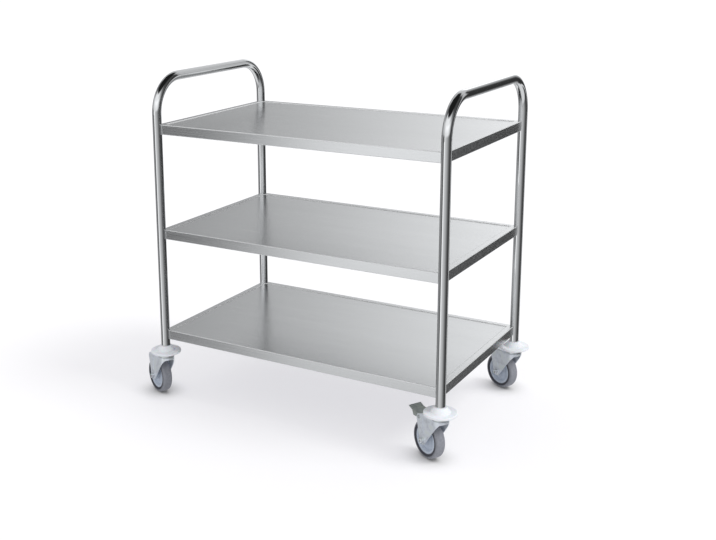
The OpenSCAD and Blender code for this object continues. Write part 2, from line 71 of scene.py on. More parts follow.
# Places and shapes of the small fittings on the solids
STIFFENER_SHEET = 1 * MM
WELD_ROW = 7 * MM  # from the stiffener's edge to a row of spot welds
WELD_DEPTH = 0.5 * MM
WELD_DROP = 0.2 * MM  # from the flange down to the middle of a spot weld
WELD_RIM, WELD_ROUNDING = 0.6 * MM, 0.15 * MM
DENT_RIM, DENT_DEPTH = 0.5 * MM, 0.3 * MM
BRACKET_WING = 27 * MM  # from a bracket's corner to the end of its wing
BEAD_MARGIN = 3 * MM  # what a bead leaves free at the top and bottom of a bracket
BEAD_INSET = 0.4 * MM  # from a bracket's outer face to a bead's middle
BEAD_START, BEAD_SWELL, BEAD_PINCH = 0.3, 1.5, 0.86  # radius by its size, then by the ring before
NUT_HALF = 3.25 * MM  # from an axle nut's middle to its outer face
RING_RADIUS = 5.4 * MM
SHOULDER_RIM, SHOULDER_HEIGHT = 0.3 * MM, 0.15 * MM
DISH_RIM, DISH_DEPTH = 1.0 * MM, 0.3 * MM
SMOOTH_ANGLE = math.radians(40)
LEVEL_FACE = 0.9  # a face is level where the upright part of its normal is more than this

# Radii that the wheels' patterns follow
BARREL_RADIUS, HUB_RADIUS = 8 * MM, 37 * MM
TYRE_INSIDE, TYRE_OUTSIDE = 36 * MM, 50 * MM
# A noise stays nearly always between these values
NOISE_LOW, NOISE_HIGH = 0.3, 0.7

# The floor: what the camera sees of it, and how dark it goes where something stands close
FLOOR_RADIUS = 60
FLOOR_COLOUR = (0.45, 0.45, 0.44, 1)
FLOOR_GLOW = (0.551, 0.546, 0.578, 1)
CONTACT_REACH = 75 * MM
CONTACT_OPEN = (0.35, 0.95)  # shares of open room from full contact shade to none
CONTACT_GLOW = 0.1

WHITE = (1, 1, 1, 1)
COOL_WHITE = (0.98, 0.99, 1, 1)
# The lamp is a sun, so only its direction counts, and its angle makes it soft
LAMP_PLACE, LAMP_WAY, LAMP_ANGLE = (2, 0.5, 3), (0.75, 0.15, 1.0), math.radians(24)
SENSOR_WIDTH = 36
VIEW_END = 200

# What polished metal sees of the room: one band above the other, each fading into the next
# between two heights in degrees
GROUND_TOP, SKIRTING_TOP, LOW_TOP = (-42, -33), (-26, -21), (-1, 5)
MIDDLE_TOP, HIGH_TOP = (22, 30), (44, 52)
GROUND_LIGHT, CEILING_LIGHT = 0.6, 0.01
# The middle wall is lit from above, so its brightness rises between these heights
MIDDLE_RISE, MIDDLE_DIM, MIDDLE_BRIGHT = (8, 26), 0.83, 1.13
# The bands' brightness by direction in degrees: 0 is the right, 90 the back
LOW_WALL = ((-180, 0.22), (-150, 0.18), (-131, 0.05), (-124.5, 0.05), (-121, 0.95), (-112, 0.88),
    (-104, 0.68), (-92, 0.52), (-85, 0.50), (-70, 0.42), (-50, 0.33), (-30, 0.20), (-10, 0.08),
    (20, 0.04), (48, 0.03), (52, 0.6), (56, 0.6), (59, 0.02), (75, 0.03), (81, 0.12), (88, 0.25),
    (97, 0.45), (125, 0.40), (150, 0.25), (180, 0.26))
SKIRTING = ((-180, 0.22), (-150, 0.20), (-133, 0.42), (-122, 0.25), (-115, 0.25), (-108, 0.33),
    (-100, 0.42), (-85, 0.45), (-70, 0.42), (-50, 0.33), (-30, 0.20), (-10, 0.08), (20, 0.04),
    (47, 0.03), (51, 0.6), (57, 0.6), (60, 0.03), (74, 0.03), (80, 0.25), (97, 0.45), (125, 0.40),
    (150, 0.25), (180, 0.26))
MIDDLE_WALL = ((-180, 0.40), (-150, 0.50), (-130, 0.60), (-118, 0.80), (-60, 0.90), (-35, 0.80),
    (-20, 0.60), (-5, 0.25), (10, 0.10), (40, 0.03), (49, 0.03), (53, 0.45), (62, 0.45), (66, 0.03),
    (72, 0.04), (76, 0.12), (82, 0.28), (93, 0.42), (97, 0.75), (101, 1.1), (109, 1.0), (114, 0.76),
    (121, 0.48), (128, 0.31), (142, 0.26), (180, 0.30))
HIGH_WALL = ((-180, 0.10), (-155, 0.10), (-145, 0.60), (-125, 0.75), (-60, 0.80), (-30, 0.55),
    (-10, 0.20), (5, 0.05), (50, 0.05), (62, 0.45), (100, 0.50), (132, 0.45), (155, 0.42),
    (168, 0.12), (180, 0.10))


def linear(code):
    """The linear colour of an sRGB hex value."""
    shares = [int(code[place:place + 2], 16) / 255 for place in (1, 3, 5)]
    return tuple(s / 12.92 if s <= 0.04045 else ((s + 0.055) / 1.055) ** 2.4 for s in shares)


class TrolleyFinish(bpy.types.PropertyGroup):
    """Colours and polish of the trolley's materials."""

    tube: FloatVectorProperty(name="Tube", description="Polished stainless tube of the two frames",
        default=linear("#d9dadb"), size=3, min=0, max=1, subtype="COLOR")
    sheet: FloatVectorProperty(name="Sheet", description="Brushed stainless sheet of the shelves",
        default=linear("#cdcecf"), size=3, min=0, max=1, subtype="COLOR")
    underside: FloatVectorProperty(name="Underside",
        description="Unpolished stainless sheet under the shelves", default=linear("#b7b8ba"),
        size=3, min=0, max=1, subtype="COLOR")
    zinc: FloatVectorProperty(name="Zinc", description="Bright zinc plating of the castors",
        default=linear("#e6ebf3"), size=3, min=0, max=1, subtype="COLOR")
    pedal: FloatVectorProperty(name="Pedals",
        description="Duller, greenish zinc plating of the brake pedals", default=linear("#b0b6b3"),
        size=3, min=0, max=1, subtype="COLOR")
    bolt: FloatVectorProperty(name="Bolts", description="Bolts, nuts, stems and pins",
        default=linear("#d2d6da"), size=3, min=0, max=1, subtype="COLOR")
    nut: FloatVectorProperty(name="Rivet nuts",
        description="Yellow zinc plating of the rivet nuts and plugs", default=linear("#c2ad6c"),
        size=3, min=0, max=1, subtype="COLOR")
    bumper: FloatVectorProperty(name="Bumpers", description="White plastic of the bumper discs",
        default=linear("#f0f3f8"), size=3, min=0, max=1, subtype="COLOR")
    hub: FloatVectorProperty(name="Hubs", description="Pale plastic of the wheel hubs",
        default=linear("#c4cddb"), size=3, min=0, max=1, subtype="COLOR")
    tread: FloatVectorProperty(name="Tread", description="Grey rubber of the tyres' treads",
        default=linear("#8f9199"), size=3, min=0, max=1, subtype="COLOR")
    # Painted shade: the dark ring on a tyre's side next to the hub, where the side wall is recessed
    wall: FloatVectorProperty(name="Side wall",
        description="Darker rubber of the tyres' side walls", default=linear("#45464f"), size=3,
        min=0, max=1, subtype="COLOR")
    brush_width: FloatProperty(name="Brush lines",
        description="Width of the brush lines that show on the shelves", default=1.4 * MM,
        min=0.5 * MM, max=6 * MM, unit="LENGTH")
    tube_blur: FloatProperty(name="Tube roughness", description="Roughness of the polished tube",
        default=0.07, min=0.02, max=0.3, subtype="FACTOR")
    sheet_blur: FloatProperty(name="Sheet roughness", description="Roughness of the brushed sheet",
        default=0.24, min=0.1, max=0.6, subtype="FACTOR")


class TrolleyFittings(bpy.types.PropertyGroup):
    """Sizes of the weld marks and small fittings."""

    spot_pitch: FloatProperty(name="Spot weld pitch",
        description="Distance between spot welds along a stiffener", default=60 * MM, min=30 * MM,
        max=120 * MM, unit="LENGTH")
    spot_size: FloatProperty(name="Spot weld size", description="Diameter of a spot weld's mark",
        default=6 * MM, min=4 * MM, max=8 * MM, unit="LENGTH")
    bead_size: FloatProperty(name="Bead size",
        description="Diameter of the weld beads at the corner brackets", default=2.4 * MM,
        min=1.5 * MM, max=4 * MM, unit="LENGTH")
    bead_waves: IntProperty(name="Bead waves", description="Number of waves along a weld bead",
        default=7, min=3, max=12)
    ring_height: FloatProperty(name="Lock ring",
        description="Height of the nylon ring in each axle nut", default=0.9 * MM, min=0.5 * MM,
        max=1.3 * MM, unit="LENGTH")


class TrolleyStage(bpy.types.PropertyGroup):
    """Camera, light and floor."""

    eye: FloatVectorProperty(name="Eye", description="Place of the camera",
        default=(1.381, -2.512, 1.249), size=3, unit="LENGTH")
    turn: FloatProperty(name="Turn", description="Direction of the camera round the trolley",
        default=math.radians(31.06), unit="ROTATION")
    tilt: FloatProperty(name="Tilt", description="Angle by which the camera looks down",
        default=math.radians(13.45), unit="ROTATION")
    roll: FloatProperty(name="Roll", description="Roll of the camera about its line of sight",
        default=math.radians(-0.53), unit="ROTATION")
    lens: FloatProperty(name="Lens", description="Focal length in millimetres on a 36 mm frame",
        default=54.4, min=20, max=200)
    shift: FloatVectorProperty(name="Shift", description="Sideways and upward shift of the frame",
        default=(0.083, -0.0978), size=2)
    room_light: FloatProperty(name="Room light",
        description="Brightness of the room on plain surfaces", default=0.80, min=0, max=2)
    room_shine: FloatProperty(name="Room shine",
        description="Brightness of the brightest walls in polished metal",
        default=1.5, min=0, max=3)
    key_light: FloatProperty(name="Key light", description="Strength of the soft lamp on the right",
        default=1.3, min=0, max=5)
    floor: FloatVectorProperty(name="Floor", description="Pale floor",
        default=linear("#e8e8ea"), size=3, min=0, max=1, subtype="COLOR")


# ---- shared steps ----

def add(tree, kind, inputs=None, stops=None, **settings):
    """Adds a node to a tree with its settings, ramp stops, and inputs as values or links."""
    node = tree.nodes.new(kind)
    for name, value in settings.items():
        setattr(node, name, value)
    for key, value in (inputs or {}).items():
        if isinstance(value, bpy.types.NodeSocket):
            tree.links.new(value, node.inputs[key])
        else:
            node.inputs[key].default_value = value
    if stops:
        points = node.color_ramp.elements
        while len(points) < len(stops):
            points.new(0.5)
        for point, (place, colour) in zip(points, stops):
            point.position = place
            point.color = (colour, colour, colour, 1) if isinstance(colour, float) else (*colour, 1)
    return node


def finish(name, metallic, ior=None, **values):
    """Starts a material and returns it, its tree and its shader, with values on its own sockets."""
    material = bpy.data.materials.new(name)
    material.use_nodes = True
    tree = material.node_tree
    tree.nodes.clear()
    shader = add(tree, "ShaderNodeBsdfPrincipled", {"Metallic": metallic})
    if ior:
        shader.inputs["IOR"].default_value = ior
    for socket, value in values.items():
        shader.inputs[socket.replace("_", " ")].default_value = value
    add(tree, "ShaderNodeOutputMaterial", {"Surface": shader.outputs["BSDF"]})
    return material, tree, shader


def shade(colour, share):
    """The colour made darker or lighter by a share."""
    return tuple(min(1.0, channel * share) for channel in colour)


def dress(material, *names):
    """Gives CAD nodes this material."""
    for name in names:
        for place in frame["nodes"][name].material_slots:
            place.link = "OBJECT"
            place.material = material


def start_piece(name):
    """Names the primitive that was just added."""
    piece = bpy.context.active_object
    piece.name = name
    piece.data.name = name
    return piece


def pick_end(piece, way):
    """Selects, in edit mode, the face at the top of a piece (way 1) or at the bottom (way -1)."""
    mesh = bmesh.from_edit_mesh(piece.data)
    mesh.select_mode = {"FACE"}
    for face in mesh.faces:
        face.select_set(False)
    for face in mesh.faces:
        face.select_set(face.normal.z * way > LEVEL_FACE)
    bmesh.update_edit_mesh(piece.data)


def copies(piece, places):
    """Copies of a piece, each with its own mesh. The first of the places takes the piece itself."""
    made = []
    for place in places:
        twin = piece if not made else piece.copy()
        if made:
            twin.data = piece.data.copy()
            bpy.context.scene.collection.objects.link(twin)
        made.append(twin)
    for twin, place in zip(made, places):
        twin.matrix_world = place
    return made


def settle(pieces, name, body, material):
    """Joins pieces into one, puts its place into its mesh, and sets its body and material."""
    bpy.ops.object.select_all(action="DESELECT")
    for piece in pieces:
        piece.select_set(True)
    bpy.context.view_layer.objects.active = pieces[0]
    if len(pieces) > 1:
        bpy.ops.object.join()
    whole = start_piece(name)
    bpy.ops.object.transform_apply(location=True, rotation=True, scale=True)
    bpy.ops.object.shade_smooth_by_angle(angle=SMOOTH_ANGLE)
    whole.data.materials.clear()
    whole.data.materials.append(material)
    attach(whole, body)
    bpy.ops.object.select_all(action="DESELECT")


# ---- materials ----

def polished_tube(look):
    """Stainless tube, mirror polished after bending: sharp reflections, faint smears of polish."""
    material, tree, shader = finish("mirror_polished_stainless_tube", 1.0,
        Base_Color=(*look.tube, 1))
    place = add(tree, "ShaderNodeTexCoord").outputs["Object"]
    # Smears about 40 mm long, as wiping leaves them
    smears = add(tree, "ShaderNodeTexNoise", {"Vector": place, "Scale": 1 / (40 * MM), "Detail": 3,
        "Roughness": 0.6})
    blur = add(tree, "ShaderNodeMapRange", {"Value": smears.outputs["Fac"], "From Min": NOISE_LOW,
        "From Max": NOISE_HIGH, "To Min": look.tube_blur * 0.7, "To Max": look.tube_blur * 1.5})
    tree.links.new(blur.outputs["Result"], shader.inputs["Roughness"])
    # The tube isn't a perfect cylinder: long, shallow waves of 25 mm bend its reflections a little
    waves = add(tree, "ShaderNodeTexNoise", {"Vector": place, "Scale": 1 / (25 * MM), "Detail": 1})
    bump = add(tree, "ShaderNodeBump", {"Strength": 0.06, "Distance": 0.4 * MM,
        "Height": waves.outputs["Fac"]})
    tree.links.new(bump.outputs["Normal"], shader.inputs["Normal"])
    return material


def brushed_sheet(look):
    """Stainless sheet, brushed along the shelf: reflections blur most across the brush lines."""
    material, tree, shader = finish("brushed_stainless_sheet", 1.0, Anisotropic=0.55)
    coord = add(tree, "ShaderNodeTexCoord")
    place = coord.outputs["Object"]
    normal = add(tree, "ShaderNodeSeparateXYZ", {"Vector": coord.outputs["Normal"]})
    is_end = add(tree, "ShaderNodeMath", {0: normal.outputs["X"]}, operation="ABSOLUTE")
    # Lines run along X on the deck and long edges, and turn down with the sheet on the end edges.
    # Real ones are 0.1 mm wide, too fine to show, so they are drawn as wide as brush_width says
    along_x = add(tree, "ShaderNodeMapping", {"Vector": place,
        "Scale": (1 / (250 * MM), 1 / look.brush_width, 1 / look.brush_width)})
    along_z = add(tree, "ShaderNodeMapping", {"Vector": place,
        "Scale": (1 / (250 * MM), 1 / look.brush_width, 1 / (60 * MM))})
    lines_at = add(tree, "ShaderNodeMix", {"Factor": is_end.outputs["Value"],
        4: along_x.outputs["Vector"], 5: along_z.outputs["Vector"]}, data_type="VECTOR")
    lines = add(tree, "ShaderNodeTexNoise", {"Vector": lines_at.outputs[1], "Scale": 1, "Detail": 4,
        "Roughness": 0.7})
    # Broad bands of 80 mm, where the belt pressed more or less
    bands_at = add(tree, "ShaderNodeMapping", {"Vector": place,
        "Scale": (1 / (900 * MM), 1 / (80 * MM), 1 / (80 * MM))})
    bands = add(tree, "ShaderNodeTexNoise", {"Vector": bands_at.outputs["Vector"], "Scale": 1,
        "Detail": 2})
    tone = add(tree, "ShaderNodeMix", {"Factor": 0.35, 2: lines.outputs["Fac"],
        3: bands.outputs["Fac"]})
    colour = add(tree, "ShaderNodeValToRGB", {"Fac": tone.outputs[0]},
        stops=[(0.3, shade(look.sheet, 0.94)), (0.7, shade(look.sheet, 1.05))])
    # Painted highlight: the folds and the rim's step are painted paler and less metallic, and
    # duller
    leans = add(tree, "ShaderNodeMath", {0: normal.outputs["Z"], 1: normal.outputs["Z"]},
        operation="MULTIPLY")
    fold = add(tree, "ShaderNodeValToRGB", {"Fac": leans.outputs["Value"]},
        stops=[(0.02, 0.0), (0.15, 1.0), (0.85, 1.0), (0.97, 0.0)])
    fold_highlight = add(tree, "ShaderNodeMix", {"Factor": fold.outputs["Color"], 6: colour.outputs["Color"],
        7: (*shade(look.sheet, 1.3), 1)}, data_type="RGBA")
    tree.links.new(fold_highlight.outputs[2], shader.inputs["Base Color"])
    blur = add(tree, "ShaderNodeMapRange", {"Value": lines.outputs["Fac"], "From Min": NOISE_LOW,
        "From Max": NOISE_HIGH, "To Min": look.sheet_blur - 0.03, "To Max": look.sheet_blur + 0.04})
    dull = add(tree, "ShaderNodeMix", {"Factor": fold.outputs["Color"], 2: blur.outputs["Result"],
        3: 0.6})
    tree.links.new(dull.outputs[0], shader.inputs["Roughness"])
    metal = add(tree, "ShaderNodeMapRange", {"Value": fold.outputs["Color"], "To Min": 1.0,
        "To Max": 0.3})
    tree.links.new(metal.outputs["Result"], shader.inputs["Metallic"])
    bump = add(tree, "ShaderNodeBump", {"Strength": 0.04, "Distance": 0.05 * MM,
        "Height": lines.outputs["Fac"]})
    tree.links.new(bump.outputs["Normal"], shader.inputs["Normal"])
    # Across the lines: along Y on the deck and the ends, along Z on the long edges
    across = add(tree, "ShaderNodeCombineXYZ", {"X": 0.0, "Y": 1.0, "Z": 0.3})
    tree.links.new(across.outputs["Vector"], shader.inputs["Tangent"])
    return material


def mill_sheet(look):
    """Stainless sheet as rolled, under the shelves: dull, slightly mottled, with handling marks."""
    material, tree, shader = finish("mill_finish_stainless_sheet", 1.0)
    place = add(tree, "ShaderNodeTexCoord").outputs["Object"]
    mottle = add(tree, "ShaderNodeTexNoise", {"Vector": place, "Scale": 1 / (18 * MM), "Detail": 5,
        "Roughness": 0.6})
    colour = add(tree, "ShaderNodeValToRGB", {"Fac": mottle.outputs["Fac"]},
        stops=[(0.35, shade(look.underside, 0.88)), (0.65, shade(look.underside, 1.05))])
    tree.links.new(colour.outputs["Color"], shader.inputs["Base Color"])
    blur = add(tree, "ShaderNodeMapRange", {"Value": mottle.outputs["Fac"], "From Min": NOISE_LOW,
        "From Max": NOISE_HIGH, "To Min": 0.36, "To Max": 0.46})
    tree.links.new(blur.outputs["Result"], shader.inputs["Roughness"])
    return material


def zinc_plate(name, colour, blur_low, blur_high, grain, metallic=1.0):
    """Zinc plating or ground steel: pale, a little milky, with greyer and faintly warm patches."""
    material, tree, shader = finish(name, metallic)
    place = add(tree, "ShaderNodeTexCoord").outputs["Object"]
    # Patches of 14 mm, where the plating is thicker or thinner
    cast = add(tree, "ShaderNodeTexNoise", {"Vector": place, "Scale": 1 / (14 * MM), "Detail": 2})
    warmer = (colour[0], colour[1] * 1.01, colour[2] * 0.95)
    tint = add(tree, "ShaderNodeValToRGB", {"Fac": cast.outputs["Fac"]},
        stops=[(0.32, shade(colour, 0.82)), (0.5, colour), (0.68, warmer)])
    tree.links.new(tint.outputs["Color"], shader.inputs["Base Color"])
    fine = add(tree, "ShaderNodeTexNoise", {"Vector": place, "Scale": 1 / grain, "Detail": 4,
        "Roughness": 0.65})
    blur = add(tree, "ShaderNodeMapRange", {"Value": fine.outputs["Fac"], "From Min": NOISE_LOW,
        "From Max": NOISE_HIGH, "To Min": blur_low, "To Max": blur_high})
    tree.links.new(blur.outputs["Result"], shader.inputs["Roughness"])
    bump = add(tree, "ShaderNodeBump", {"Strength": 0.15, "Distance": 0.05 * MM,
        "Height": fine.outputs["Fac"]})
    tree.links.new(bump.outputs["Normal"], shader.inputs["Normal"])
    return material


def white_plastic(look):
    """Soft white plastic, moulded with a fine grain. Light soaks in a little at its round rim."""
    material, tree, shader = finish("white_moulded_plastic", 0.0, ior=1.50,
        Subsurface_Weight=0.08, Subsurface_Scale=2 * MM)
    place = add(tree, "ShaderNodeTexCoord").outputs["Object"]
    cloud = add(tree, "ShaderNodeTexNoise", {"Vector": place, "Scale": 1 / (22 * MM), "Detail": 4,
        "Roughness": 0.6})
    colour = add(tree, "ShaderNodeValToRGB", {"Fac": cloud.outputs["Fac"]},
        stops=[(0.3, shade(look.bumper, 0.94)), (0.6, look.bumper)])
    tree.links.new(colour.outputs["Color"], shader.inputs["Base Color"])
    # The mould's spark grain is 0.1 mm and is drawn at 0.8 mm
    grain = add(tree, "ShaderNodeTexNoise", {"Vector": place, "Scale": 1 / (0.8 * MM), "Detail": 2})
    blur = add(tree, "ShaderNodeMapRange", {"Value": cloud.outputs["Fac"], "To Min": 0.36,
        "To Max": 0.52})
    tree.links.new(blur.outputs["Result"], shader.inputs["Roughness"])
    bump = add(tree, "ShaderNodeBump", {"Strength": 0.12, "Distance": 0.1 * MM,
        "Height": grain.outputs["Fac"]})
    tree.links.new(bump.outputs["Normal"], shader.inputs["Normal"])
    return material


def on_wheel(tree, corner):
    """Two sockets for a pattern: the place in the wheel's frame and the distance to its axle."""
    roll = JOINTS[f"roll_{corner}"]
    along = math.atan2(roll["axis"][1], roll["axis"][0])
    place = add(tree, "ShaderNodeTexCoord").outputs["Object"]
    own = add(tree, "ShaderNodeMapping", {"Vector": place, "Location": roll["pos_m"],
        "Rotation": (0, 0, along)}, vector_type="TEXTURE")
    flat = add(tree, "ShaderNodeVectorMath", {0: own.outputs["Vector"], 1: (0, 1, 1)},
        operation="MULTIPLY")
    reach = add(tree, "ShaderNodeVectorMath", {0: flat.outputs["Vector"]}, operation="LENGTH")
    return own.outputs["Vector"], reach.outputs["Value"]


def grey_rubber(look, corner):
    """Grey non-marking rubber: matt, dusty on the tread, with painted shade on the recessed side
    walls.
    """
    material, tree, shader = finish(f"grey_non_marking_rubber_{corner}", 0.0, ior=1.52,
        Specular_IOR_Level=0.4)
    place, reach = on_wheel(tree, corner)
    zone = add(tree, "ShaderNodeMapRange", {"Value": reach, "From Min": TYRE_INSIDE,
        "From Max": TYRE_OUTSIDE})
    # Painted shade: dark where the side wall is recessed next to the hub, then a darker edge to the
    # tread
    ring = add(tree, "ShaderNodeValToRGB", {"Fac": zone.outputs["Result"]},
        stops=[(0.0, look.wall), (0.44, look.wall), (0.56, shade(look.tread, 0.72)),
        (0.82, look.tread)])
    dust = add(tree, "ShaderNodeTexNoise", {"Vector": place, "Scale": 1 / (7 * MM), "Detail": 5,
        "Roughness": 0.65})
    wear = add(tree, "ShaderNodeMapRange", {"Value": dust.outputs["Fac"], "From Min": 0.35,
        "From Max": 0.7, "To Min": 0.88, "To Max": 1.12})
    colour = add(tree, "ShaderNodeVectorMath", {0: ring.outputs["Color"],
        "Scale": wear.outputs["Result"]}, operation="SCALE")
    tree.links.new(colour.outputs["Vector"], shader.inputs["Base Color"])
    blur = add(tree, "ShaderNodeMapRange", {"Value": dust.outputs["Fac"], "To Min": 0.5,
        "To Max": 0.75})
    tree.links.new(blur.outputs["Result"], shader.inputs["Roughness"])
    # Fine mould grain, 0.2 mm in the real tyre and drawn at 0.7 mm
    grain = add(tree, "ShaderNodeTexNoise", {"Vector": place, "Scale": 1 / (0.7 * MM), "Detail": 2})
    bump = add(tree, "ShaderNodeBump", {"Strength": 0.2, "Distance": 0.1 * MM,
        "Height": grain.outputs["Fac"]})
    tree.links.new(bump.outputs["Normal"], shader.inputs["Normal"])
    return material


def hub_nylon(look, corner):
    """Pale moulded nylon: satin, with faint turning rings, and darker round the barrel."""
    material, tree, shader = finish(f"pale_moulded_nylon_{corner}", 0.0, ior=1.53)
    place, reach = on_wheel(tree, corner)
    zone = add(tree, "ShaderNodeMapRange", {"Value": reach, "From Min": BARREL_RADIUS,
        "From Max": HUB_RADIUS})
    # Darker round the barrel, slightly lighter towards the rim and darker at its very edge
    ring = add(tree, "ShaderNodeValToRGB", {"Fac": zone.outputs["Result"]},
        stops=[(0.0, look.hub), (0.14, shade(look.hub, 0.8)), (0.3, look.hub),
        (0.92, shade(look.hub, 1.05)), (1.0, shade(look.hub, 0.86))])
    cloud = add(tree, "ShaderNodeTexNoise", {"Vector": place, "Scale": 1 / (9 * MM), "Detail": 3})
    tone = add(tree, "ShaderNodeMapRange", {"Value": cloud.outputs["Fac"], "From Min": NOISE_LOW,
        "From Max": NOISE_HIGH, "To Min": 0.95, "To Max": 1.04})
    colour = add(tree, "ShaderNodeVectorMath", {0: ring.outputs["Color"],
        "Scale": tone.outputs["Result"]}, operation="SCALE")
    tree.links.new(colour.outputs["Vector"], shader.inputs["Base Color"])
    blur = add(tree, "ShaderNodeMapRange", {"Value": cloud.outputs["Fac"], "To Min": 0.28,
        "To Max": 0.42})
    tree.links.new(blur.outputs["Result"], shader.inputs["Roughness"])
    # Rings 2 mm apart that the mould's turned core leaves
    rings = add(tree, "ShaderNodeMath", {0: reach, 1: 2 * math.pi / (2 * MM)}, operation="MULTIPLY")
    wave = add(tree, "ShaderNodeMath", {0: rings.outputs["Value"]}, operation="SINE")
    bump = add(tree, "ShaderNodeBump", {"Strength": 0.08, "Distance": 0.05 * MM,
        "Height": wave.outputs["Value"]})
    tree.links.new(bump.outputs["Normal"], shader.inputs["Normal"])
    return material


# ---- operators ----

class TROLLEY_OT_finish_frames(bpy.types.Operator):
    """Polishes the two bent tube frames"""

    bl_idname = "trolley.finish_frames"
    bl_label = "Finish tube frames"

    def execute(self, context):
        dress(polished_tube(context.scene.trolley_finish), "left_handle_frame",
            "right_handle_frame")
        return {"FINISHED"}


class TROLLEY_OT_finish_shelves(bpy.types.Operator):
    """Brushes the shelves and finishes what is fixed under them"""

    bl_idname = "trolley.finish_shelves"
    bl_label = "Finish shelves"

    def execute(self, context):
        look = context.scene.trolley_finish
        dress(brushed_sheet(look), *[f"{level}_shelf" for level in LEVELS])
        dress(mill_sheet(look), *[f"{level}_{part}" for level in LEVELS
            for part in ("stiffener", "corner_brackets")])
        dress(zinc_plate("stainless_button_head_screw", look.bolt, 0.2, 0.3, 2 * MM),
            *[f"{level}_shelf_screws" for level in LEVELS])
        dress(zinc_plate("yellow_zinc_plated_rivet_nut", look.nut, 0.3, 0.42, 2 * MM),
            *[f"{level}_rivet_nuts" for level in LEVELS], "post_plugs")
        return {"FINISHED"}


class TROLLEY_OT_finish_castors(bpy.types.Operator):
    """Plates the forks, races, pedals, bolts and balls of the castors"""

    bl_idname = "trolley.finish_castors"
    bl_label = "Finish castor metal"

    def execute(self, context):
        look = context.scene.trolley_finish
        pressed = zinc_plate("bright_zinc_plated_pressing", look.zinc, 0.34, 0.46, 3 * MM,
            metallic=0.5)
        turned = zinc_plate("bright_zinc_plated_bolt", look.bolt, 0.22, 0.32, 2 * MM, metallic=0.75)
        # Painted shade: the races take the darker bolt colour for the bumpers' shade over them, so
        # they look darker than the forks
        dress(zinc_plate("shade_darkened_zinc_plated_race", look.bolt, 0.3, 0.4, 3 * MM, metallic=0.9),
            "swivel_races")
        dress(pressed, *[f"fork_{corner}" for corner in CORNERS])
        dress(zinc_plate("dull_zinc_plated_pedal", look.pedal, 0.32, 0.44, 3 * MM, metallic=0.7),
            *[f"brake_pedal_{corner}" for corner in BRAKED])
        dress(turned, "swivel_stems",
            *[f"{part}_{corner}" for corner in CORNERS
                for part in ("axle_bolt", "axle_nut", "axle_sleeve")],
            *[f"brake_pin_{corner}" for corner in BRAKED])
        dress(zinc_plate("ground_bearing_steel", look.bolt, 0.08, 0.12, 4 * MM), "swivel_balls")
        return {"FINISHED"}


class TROLLEY_OT_finish_wheels(bpy.types.Operator):
    """Gives the bumpers, hubs and tyres their plastic and rubber"""

    bl_idname = "trolley.finish_wheels"
    bl_label = "Finish wheels and bumpers"

    def execute(self, context):
        look = context.scene.trolley_finish
        dress(white_plastic(look), *[f"bumper_{corner}" for corner in CORNERS])
        for corner in CORNERS:
            dress(grey_rubber(look, corner), f"tyre_{corner}")
            dress(hub_nylon(look, corner), f"wheel_hub_{corner}")
        return {"FINISHED"}


class TROLLEY_OT_add_spot_welds(bpy.types.Operator):
    """Adds the rows of spot welds that hold each stiffener"""

    bl_idname = "trolley.add_spot_welds"
    bl_label = "Add spot welds"

    def execute(self, context):
        fit = context.scene.trolley_fittings
        material = mill_sheet(context.scene.trolley_finish)
        material.name = "spot_welded_stainless_sheet"
        for level in LEVELS:
            low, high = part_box(f"{level}_stiffener")
            flange_z = high.z - STIFFENER_SHEET
            count = int((high.x - low.x) / fit.spot_pitch)
            start = -fit.spot_pitch * (count - 1) / 2
            bpy.ops.object.select_all(action="DESELECT")
            # A shallow button with a pressed-in middle, seen from below
            bpy.ops.mesh.primitive_cylinder_add(vertices=20, radius=fit.spot_size / 2,
                depth=WELD_DEPTH)
            weld = start_piece(f"{level}_spot_weld")
            bpy.ops.object.mode_set(mode="EDIT")
            pick_end(weld, -1)
            bpy.ops.mesh.inset(thickness=WELD_RIM)
            bpy.ops.transform.translate(value=(0, 0, -WELD_ROUNDING))
            bpy.ops.mesh.inset(thickness=DENT_RIM)
            bpy.ops.transform.translate(value=(0, 0, DENT_DEPTH))
            bpy.ops.object.mode_set(mode="OBJECT")
            row_y, row_z = high.y - WELD_ROW, flange_z - WELD_DROP
            places = [Matrix.Translation((start + step * fit.spot_pitch, side * row_y, row_z))
                for side in (-1, 1) for step in range(count)]
            settle(copies(weld, places), f"{level}_spot_welds", "frame", material)
        return {"FINISHED"}


class TROLLEY_OT_add_weld_beads(bpy.types.Operator):
    """Adds the short weld beads at the ends of the corner brackets"""

    bl_idname = "trolley.add_weld_beads"
    bl_label = "Add weld beads"

    def execute(self, context):
        fit = context.scene.trolley_fittings
        material = mill_sheet(context.scene.trolley_finish)
        material.name = "stainless_weld_bead"
        for level in LEVELS:
            low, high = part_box(f"{level}_corner_brackets")
            step = (high.z - low.z - 2 * BEAD_MARGIN) / (2 * fit.bead_waves)
            bpy.ops.object.select_all(action="DESELECT")
            # A bead grows upward in waves, as the rod was fed
            bpy.ops.mesh.primitive_cylinder_add(vertices=12, radius=fit.bead_size * BEAD_START,
                depth=step, location=(0, 0, low.z + BEAD_MARGIN))
            bead = start_piece(f"{level}_weld_bead")
            bpy.ops.object.mode_set(mode="EDIT")
            pick_end(bead, 1)
            for wave in range(2 * fit.bead_waves - 1):
                swell = BEAD_SWELL if wave == 0 else (BEAD_PINCH if wave % 2 else 1 / BEAD_PINCH)
                bpy.ops.mesh.extrude_region_move(TRANSFORM_OT_translate={"value": (0, 0, step)})
                bpy.ops.transform.resize(value=(swell, swell, 1))
            bpy.ops.object.mode_set(mode="OBJECT")
            # Where the end of each wing meets the inside of the folded edge
            spots = [Vector((sx * (high.x - along), sy * (high.y - across), 0))
                for sx in (-1, 1) for sy in (-1, 1)
                for along, across in ((BRACKET_WING, BEAD_INSET), (BEAD_INSET, BRACKET_WING))]
            places = [Matrix.Translation(spot) @ bead.matrix_world for spot in spots]
            settle(copies(bead, places), f"{level}_weld_beads", "frame", material)
        return {"FINISHED"}


